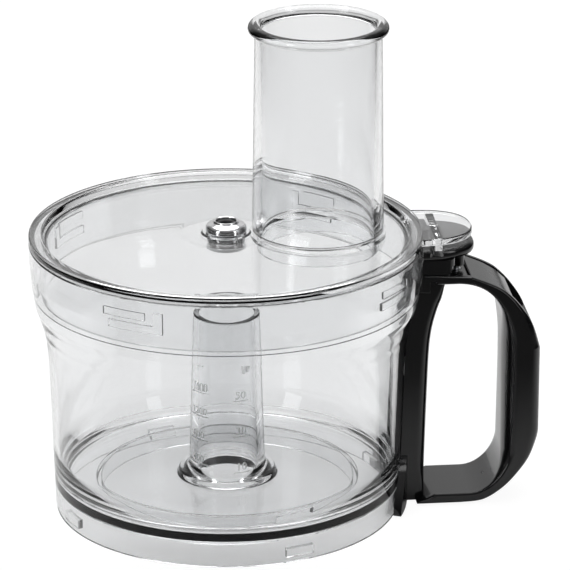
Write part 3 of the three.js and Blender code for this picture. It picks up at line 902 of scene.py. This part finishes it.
def saddle():
    ring = ring_part(70, 80.9, 0.6, 25, -22, 22)
    turns = [math.tau * i / 64 for i in range(64)]
    disc = prism("disc", [(31 * math.cos(a), 31 * math.sin(a)) for a in turns], 60, 90)
    disc.data.transform(Matrix.Translation(-AXIS))
    lay = Matrix(((0, 0, 1, 0), (1, 0, 0, 0), (0, 1, 0, -6 * MM), (0, 0, 0, 1)))
    disc.data.transform(Matrix.Translation(AXIS) @ lay)
    return soften(combine(ring, [face_out(disc)], "INTERSECT"), 1.0)


def screw_ways():
    ways = []
    low, high = face_radius(EAR_LOW) + EAR_REACH, face_radius(EAR_HIGH) + EAR_REACH
    for side in (-EAR_SIDE, EAR_SIDE):
        ways += [round_post(1.6, -1, 13, low, side, 20), round_post(2.4, -1, 2.2, low, side, 24),
                 round_post(1.6, 99, 112, high, side, 20), round_post(2.4, 107.9, 115, high, side, 24)]
    for x, seat, end in ((MIDDLE_POST_X, 106.8, 112), (COVER_SCREW_X, 5.4, 8)):
        ways += [round_post(1.6, seat - 3, end, x, 0, 20), round_post(2.4, seat - 8, seat, x, 0, 24)]
    return ways


def handle_body():
    outside, inside = loop_outer(), list(reversed(loop_inner()))
    rolls = edge_rolls(outside, 3.0, 3.0) + edge_rolls(inside, 5.6, 13.0)
    loop = rolled_slab("handle_body", outside + inside, rolls, HALF, handle_black)
    face = along_face(-9, SPINE_DEPTH, 0.6, SPINE_TOP)
    outer_count = len(face) // 2
    spine_rolls = [(roll, roll) for x, z in face[:outer_count]
                   for roll in [0.4 + 4.2 * min(1, max(0, min(z - 3, SPINE_TOP - 3 - z) / 12))]]
    spine_rolls += [(0.2, 0.2)] * (len(face) - outer_count)
    spine = rolled_slab("spine", face, spine_rolls, SPINE_HALF, handle_black, 8)
    neck = soften(ring_part(84, 90.4, 100, 116, -9, 9), 0.6)
    boss = round_post(POST_R, 105.5, 108.4, MIDDLE_POST_X, 0, 48)
    head_outline = rounded([(85, -15.8, 0.2), (100.4, -15.8, 5.6), (100.4, 15.8, 5.6),
                            (85, 15.8, 0.2)], 10)
    head = soften(prism("head", head_outline, 105.6, 116), 0.4, 2, 50)
    body = combine(loop, [spine, saddle(), neck, boss, head], "UNION")
    half = SPINE_HALF - SIDE_WALL
    hollow = side_slab(along_face(-4, SPINE_DEPTH - SIDE_WALL, 4, SPINE_TOP - 3), half)
    channel = side_slab(loop_hollow(0.0, 6.6), HALF - SIDE_WALL)
    slot = block(88.9, 94.1, -3.4, 3.4, 100, 125)
    foot = round_post(1.8, -2, 5, 81.7, 0, 24)
    sockets = [round_post(POST_R + SLIT, 107.3, 125, POST_X, y, 40) for y in (-POST_SIDE, POST_SIDE)]
    return combine(body, [bowl_core(SLIT), hollow, channel, slot, foot, *sockets, *screw_ways()],
                   "DIFFERENCE")


body = handle_body()
place(smooth(body, 30), "bowl", "black_handle", "handle_body")

# %% Grip cover and arm infill
def grip_cover():
    outer = [(x, z) for x, z in loop_outer() if x > 113 and z < 84]
    inner = []
    for x, z in reversed(outer):
        lean = min(1, max(0, (40 - z) / 30))
        inner.append((x - 2.8 * (1 - lean * 0.5), z + 2.8 * lean))
    half = HALF - SIDE_WALL - SLIT
    shell = prism("grip_cover", outer + inner, -half, half, axis="Y", finish=handle_black)
    room = side_slab(loop_hollow(SLIT), half + 1)
    shell = combine(shell, [room], "INTERSECT")
    ways = [round_post(2.4, -2, 5.4, COVER_SCREW_X, 0, 24), round_post(1.6, 2, 9, COVER_SCREW_X, 0, 20)]
    return soften(combine(shell, ways, "DIFFERENCE"), 0.35, 2, 60)


cover = grip_cover()
place(smooth(cover, 30), "bowl", "black_handle", "grip_cover")

strip = flowing([(107.3, 107.7), (116.1, 104), (122.1, 100.4), (126.3, 96.6)], 6)
under = [(x - 0.3, z - 0.8) for x, z in reversed(strip)]
infill = prism("arm_infill", strip + under, -14.2, 14.2, axis="Y", finish=handle_black)
place(smooth(soften(infill, 0.2, 2, 50)), "bowl", "black_handle", "arm_infill")

# %% [markdown]
# ## The thumb rest
# A rounded black plate under the lid's tab. The lid's finger slides in its curved groove, and a window
# in the groove lets the finger reach the interlock rod.

# %% Thumb rest
def thumb_rest():
    plate = prism("thumb_rest", tab_outline(82, 110, 18.5), 116.3, 121.5, finish=handle_black)
    plate = soften(plate, 2.2, 6, 50)
    nose = soften(block(85, 89.8, -3, 12, 117.3, 123.8), 0.5)
    posts = [round_post(POST_R, 107.6, 117.3, POST_X, y, 48) for y in (-POST_SIDE, POST_SIDE)]
    middle_post = round_post(POST_R, 108.7, 117.3, MIDDLE_POST_X, 0, 48)
    plate = combine(plate, [nose, middle_post, *posts], "UNION")
    cuts = [ring_part(90, 96, 118.4, 130, -16, 16), block(89.6, 94.4, -3.5, 3.5, 110, 125),
            bowl_core(SLIT), round_post(1.6, 100, 116.8, MIDDLE_POST_X, 0, 20)]
    return combine(plate, cuts, "DIFFERENCE")


rest = thumb_rest()
place(smooth(rest, 30), "bowl", "black_handle", "thumb_rest")

# %% [markdown]
# ## Small parts that stay as packed
# The rod, its spring and clip, and the screws are already fine enough. They only take a finish.

# %% Finishes on the small parts
def finish_node(name, material):
    node = bpy.data.objects[name]
    node.data.materials.clear()
    node.data.materials.append(material)


SCREWS = ["handle_screw_" + level + side for level in ("lower_", "upper_") for side in ("front", "back")]
for name in [*SCREWS, "thumb_rest_screw", "grip_cover_screw", "bush_clip", "interlock_spring"]:
    finish_node(name, zinc)
for name in ("interlock_rod", "rod_retainer"):
    finish_node(name, rod_black)
print("finished", len(SCREWS) + 6, "small parts")

# %% [markdown]
# ## Worktop and light
# The worktop is white and lit by the lamps, but the camera sees it mostly as a painted glow: an
# emission that stands in for bright light and washes out the shadows. Clear plastic shows only what it
# bends into view, so the surroundings decide how it looks: for all other rays a white path runs from
# front to back under and behind the bowl, and beside that path the worktop is painted dark, painted
# shade that stands in for a dark studio; in front of the bowl it is painted a little darker too. The
# walls show the path and stay light; their rims and edges bend the painted dark sides into view, which
# draws the outline.

# %% Worktop
def fade(paint, value, start, end):
    """0 at start and 1 at end, held outside them."""
    made = paint.node("ShaderNodeMapRange", Value=value)
    made.inputs["From Min"].default_value = start
    made.inputs["From Max"].default_value = end
    return paint.value(made.outputs[0])


def floor_painted_glow_and_shade():
    paint = Paint("floor_painted_glow_and_shade")
    spread = paint.node("ShaderNodeTexCoord").outputs["Object"]
    turn = paint.node("ShaderNodeMapping", Vector=spread, Rotation=(0, 0, -VIEW_AZIMUTH)).outputs[0]
    parts = paint.node("ShaderNodeSeparateXYZ", Vector=turn)
    side = paint.node("ShaderNodeMath", {"operation": "ABSOLUTE"})
    paint.tree.links.new(parts.outputs[0], side.inputs[0])
    # Painted shade: beside the white path the worktop turns almost black for every ray but the camera's.
    beside = fade(paint, side.outputs[0], PATH_HALF, PATH_HALF + 0.15)
    # Painted shade: in front of the bowl the worktop darkens by FRONT_SHADE, so the handle's sides
    # reflect dark.
    painted_front_shade = fade(paint, parts.outputs[1], -0.04, -0.16) * FRONT_SHADE
    speck = paint.node("ShaderNodeTexNoise", Vector=spread, Scale=60, Detail=4)
    # Worktop tone for bent and reflected rays: white on the path, times the painted shade beside it and
    # in front.
    bright = (0.92 + 0.02 * paint.value(speck.outputs[0])) * (1 - beside) * (1 - painted_front_shade)
    path = paint.node("ShaderNodeMix", {"data_type": "RGBA"}, Factor=bright)
    path.inputs["A"].default_value = grey(0.01)
    path.inputs["B"].default_value = grey(1.0)
    body = paint.node("ShaderNodeBsdfDiffuse", Color=path.outputs["Result"])
    # Painted glow: an emission that the camera sees in place of the lit worktop.
    painted_glow = paint.node("ShaderNodeEmission", Color=grey(1.0), Strength=1.1)
    ray = paint.value(paint.node("ShaderNodeLightPath").outputs["Is Camera Ray"])
    # Camera rays get 85 per cent painted glow and 15 per cent lit worktop, so shadows barely show.
    mix = paint.node("ShaderNodeMixShader", Fac=ray * 0.85)
    paint.tree.links.new(body.outputs[0], mix.inputs[1])
    paint.tree.links.new(painted_glow.outputs[0], mix.inputs[2])
    return paint.finish(mix.outputs[0])


def worktop(reach, finish):
    shape = bmesh.new()
    bmesh.ops.create_grid(shape, x_segments=8, y_segments=8, size=reach)
    mesh = bpy.data.meshes.new("worktop")
    shape.to_mesh(mesh)
    shape.free()
    mesh.transform(Matrix.Translation((0, 0, -0.0002)))
    mesh.materials.append(finish)
    made = bpy.data.objects.new("worktop", mesh)
    bpy.context.scene.collection.objects.link(made)
    return made


# Half width of the white path; beyond it the worktop is painted dark.
PATH_HALF = 0.40
# How far the worktop in front of the bowl is painted darker.
FRONT_SHADE = 0.86
worktop(6, floor_painted_glow_and_shade())


# %% Lights
def soft_box(name, place_, aim, size, power):
    data = bpy.data.lights.new(name, "AREA")
    data.shape = "RECTANGLE"
    data.size, data.size_y = size
    data.energy = power
    made = bpy.data.objects.new(name, data)
    made.location = place_
    made.rotation_euler = (Vector(aim) - Vector(place_)).to_track_quat("-Z", "Y").to_euler()
    bpy.context.scene.collection.objects.link(made)
    return made


middle = Vector((0, 0, 0.1))
soft_box("top_box", (0, 0.5, 1.5), (0, 0.4, 0), (1.4, 1.6), 19)
soft_box("left_box", (-1.2, -0.9, 0.6), middle, (0.35, 1.0), 4)
soft_box("right_box", (1.1, -1.0, 0.6), middle, (0.3, 1.0), 3)


def studio_sky():
    """Dark at the sides and in front, pale overhead, bright low behind the bowl."""
    world = bpy.data.worlds.new("studio_sky")
    bpy.context.scene.world = world
    world.use_nodes = True
    tree = world.node_tree
    tree.nodes.clear()

    def added(kind, **settings):
        made = tree.nodes.new(kind)
        for key, value in settings.items():
            setattr(made, key, value)
        return made

    def ramp(source, start, end, low, high):
        made = added("ShaderNodeMapRange", interpolation_type="SMOOTHSTEP")
        for slot, value in zip(list(made.inputs)[1:5], (start, end, low, high)):
            slot.default_value = value
        tree.links.new(source, made.inputs[0])
        return Value(tree, made.outputs[0])

    where = added("ShaderNodeTexCoord")
    turn = added("ShaderNodeVectorRotate", rotation_type="Z_AXIS")
    turn.inputs["Angle"].default_value = -VIEW_AZIMUTH
    parts = added("ShaderNodeSeparateXYZ")
    tree.links.new(where.outputs["Generated"], turn.inputs["Vector"])
    tree.links.new(turn.outputs[0], parts.inputs[0])
    overhead = ramp(parts.outputs[2], 0.1, 0.9, 0.03, 0.45)
    behind = ramp(parts.outputs[1], 0.6, 0.9, 0.0, BEHIND)
    light = added("ShaderNodeBackground")
    out = added("ShaderNodeOutputWorld")
    tree.links.new((overhead + behind).socket, light.inputs["Strength"])
    tree.links.new(light.outputs[0], out.inputs[0])


BEHIND = 0.75
studio_sky()
bpy.context.scene.view_settings.view_transform = "Standard"
print("worktop and lights ready")
